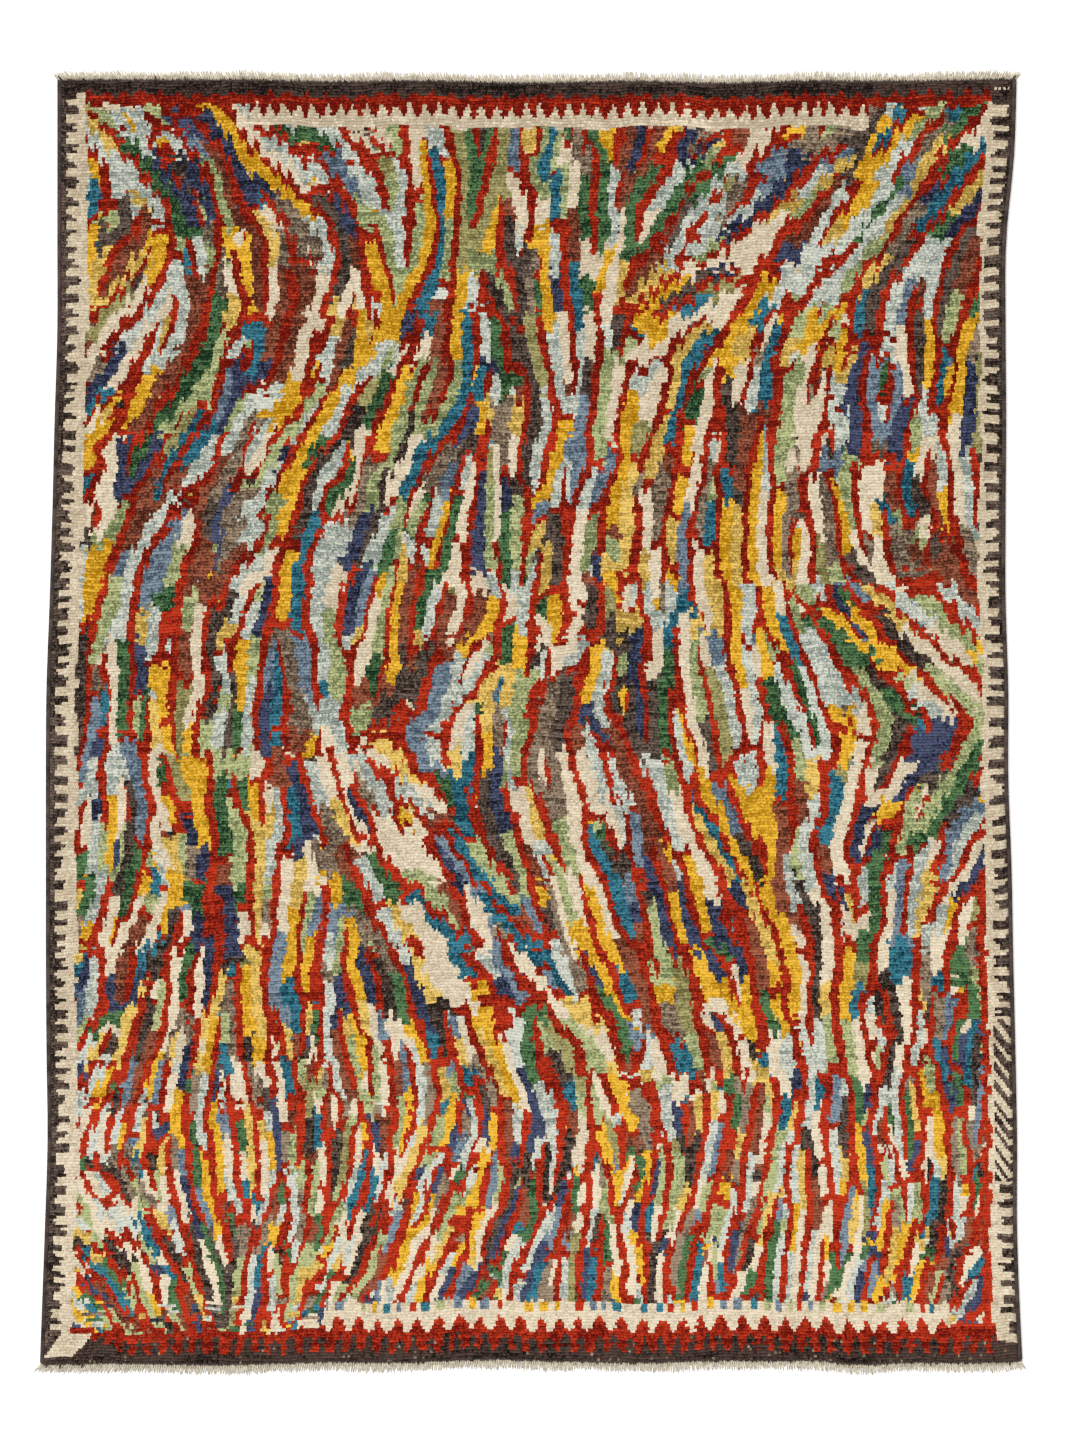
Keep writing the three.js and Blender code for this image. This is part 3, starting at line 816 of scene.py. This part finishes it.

# The flat-woven strip itself: five wefts over and under pairs of warps, of a greyer wool than the warps, and
# darker still with painted shade for the shadow under the fringe. It has eleven lines of points, on and
# between the wefts, and falls away from the pile. Heights and STRIP_START are in millimetres, and its
# picture is folded into cells that are twenty faces wide.
STRIP_WIDTH = 9.0e-3
STRIP_START = 0.3
STRIP_LINES = 11
STRIP_FOLD = 20
wool_weft = cotton.copy()
wool_weft.name = "grey_weft_with_painted_shade"
# The weft's grey: partly the wool's own colour, partly painted shade for the shadow under the warps.
ramp = found(wool_weft.node_tree, "VALTORGB")
ramp.color_ramp.elements[0].color = linear("#8C806F")
ramp.color_ramp.elements[1].color = linear("#B5AA96")
strip_line = np.arange(STRIP_LINES)[:, None]
out = strip_line / (STRIP_LINES - 1)
over = np.where((strip_line // 2 + np.arange(KNOTS + 1)) % 2, 0.35, -0.15)
rise = 0.9 + 1.8 * (1 - out) ** 1.5 + np.where(strip_line % 2, 0.3, -0.25) + over
rise[[0, -1]] = 0.3
columns, lines, faces = grid(KNOTS, STRIP_LINES - 1)
for end, along, outward in ENDS:
    x, y = on_rug(np.linspace(-0.0048, 1.0048, KNOTS + 1), np.full(KNOTS + 1, along))
    strip_y = y + outward * (STRIP_START + STRIP_WIDTH * 1000 * out) / 1000
    strip_points = np.stack([np.broadcast_to(x, rise.shape), strip_y, rise / 1000], axis=-1)
    across = ((columns % STRIP_FOLD)[:, None] + RIGHT[::outward]) / STRIP_FOLD
    up = (lines[:, None] + UP[::outward]) / (STRIP_LINES - 1)
    strip = four_sided(f"woven_strip_{end}", strip_points.reshape(-1, 3), faces[:, ::outward],
                       lay_out(columns // STRIP_FOLD, 5, across, up), wool_weft)
    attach(strip, "root")
    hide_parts(f"fringe_{end}")
    ends.append(strip)

# The outermost tufts at both ends, one to a knot: the last knots have nothing to lean on, so their charcoal
# yarn falls out over the strip in blunt dark ends. A few long ones were never trimmed, and a longer tuft
# hangs from each top corner. A tuft has three stations, and its lengths and heights are in millimetres.
TUFT_LENGTH = 6.0
TUFT_SPREAD = 1.1
UNTRIMMED = 5
TUFT_SHARE = np.array([0, 0.55, 1.0])
TUFT_HEIGHT = np.array([7.6, 7.1, 4.4])
TUFT_HALF = np.array([2.0, 2.0, 1.0])
TUFT_START = 2.6e-3
UNTRIMMED_CHANCE = 0.012
CORNER_TUFT = 15
CORNER_LEAN = [-38, 42]
tuft_places = thread_places(KNOTS, len(TUFT_SHARE), 21)
for end, along, outward in ENDS:
    place = np.linspace(0.001, 0.999, KNOTS) + maker.normal(0, 0.0004, KNOTS)
    x, y = on_rug(place, np.full(KNOTS, along))
    lean = np.radians(np.interp(place, LEAN, LEAN_DEGREES[end]) * 0.6 + maker.normal(0, 14, KNOTS))
    length = np.clip(maker.normal(TUFT_LENGTH, TUFT_SPREAD, KNOTS), 3.5, 9)
    length += np.where(maker.random(KNOTS) < UNTRIMMED_CHANCE, UNTRIMMED, 0)
    if end == "top":
        length[[0, -1]] = CORNER_TUFT
        lean[[0, -1]] = np.radians(CORNER_LEAN)
    reach = length[:, None] * TUFT_SHARE / 1000
    centres = np.stack([x[:, None] + reach * np.sin(lean)[:, None],
                        (y - outward * TUFT_START)[:, None] + outward * reach * np.cos(lean)[:, None],
                        np.broadcast_to(TUFT_HEIGHT / 1000, reach.shape)], axis=-1)
    thick = TUFT_HALF * maker.uniform(0.8, 1.2, (KNOTS, 1)) / 1000
    points, faces = tubes(centres, thick, thick * 0.7, 4)
    row_of_tufts = four_sided(f"edge_tufts_{end}", points, faces, tuft_places, wool_cord)
    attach(row_of_tufts, "root")
    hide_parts("knotted_body")

# The room: a wide pale floor, an even white sky and one broad soft lamp high at the upper left.
FLOOR_REACH = 30
floor_mesh = bpy.data.meshes.new("floor")
floor_mesh.from_pydata([(-FLOOR_REACH, -FLOOR_REACH, 0), (FLOOR_REACH, -FLOOR_REACH, 0),
                        (FLOOR_REACH, FLOOR_REACH, 0), (-FLOOR_REACH, FLOOR_REACH, 0)], [], [(0, 1, 2, 3)])
floor = bpy.data.objects.new("floor", floor_mesh)
bpy.context.scene.collection.objects.link(floor)
paint = bpy.data.materials.new("matt_white_floor_paint")
paint.use_nodes = True
paint.node_tree.nodes["Principled BSDF"].inputs["Base Color"].default_value = linear("#F6F5F3")
paint.node_tree.nodes["Principled BSDF"].inputs["Roughness"].default_value = 1.0
floor_mesh.materials.append(paint)

world = bpy.data.worlds.new("studio")
world.use_nodes = True
world.node_tree.nodes["Background"].inputs["Color"].default_value = (1, 1, 1, 1)
world.node_tree.nodes["Background"].inputs["Strength"].default_value = 0.62
bpy.context.scene.world = world
lamp = bpy.data.lights.new("broad_lamp", "SUN")
lamp.energy = 2.5
lamp.angle = math.radians(45)
lamp_at = bpy.data.objects.new("broad_lamp", lamp)
lamp_at.rotation_euler = (math.radians(-22), math.radians(-20), 0)
bpy.context.scene.collection.objects.link(lamp_at)
bpy.context.scene.view_settings.view_transform = "Standard"
bpy.context.scene.cycles.filter_width = 1.25

# The camera looks straight down on the pile through a long lens. The whole picture, 1080 by 1440, covers
# 1.9656 by 2.6208 m there.
LENS = 100
SENSOR = 36
VIEW_LENGTH = 2.6208
PILE_HEIGHT = 0.012
camera = bpy.data.cameras.new("camera")
camera.lens = LENS
camera.sensor_width = SENSOR
camera_at = bpy.data.objects.new("camera", camera)
camera_at.location = (0.0177, 0.0052, VIEW_LENGTH * LENS / SENSOR + PILE_HEIGHT)
bpy.context.scene.collection.objects.link(camera_at)
bpy.context.scene.camera = camera_at
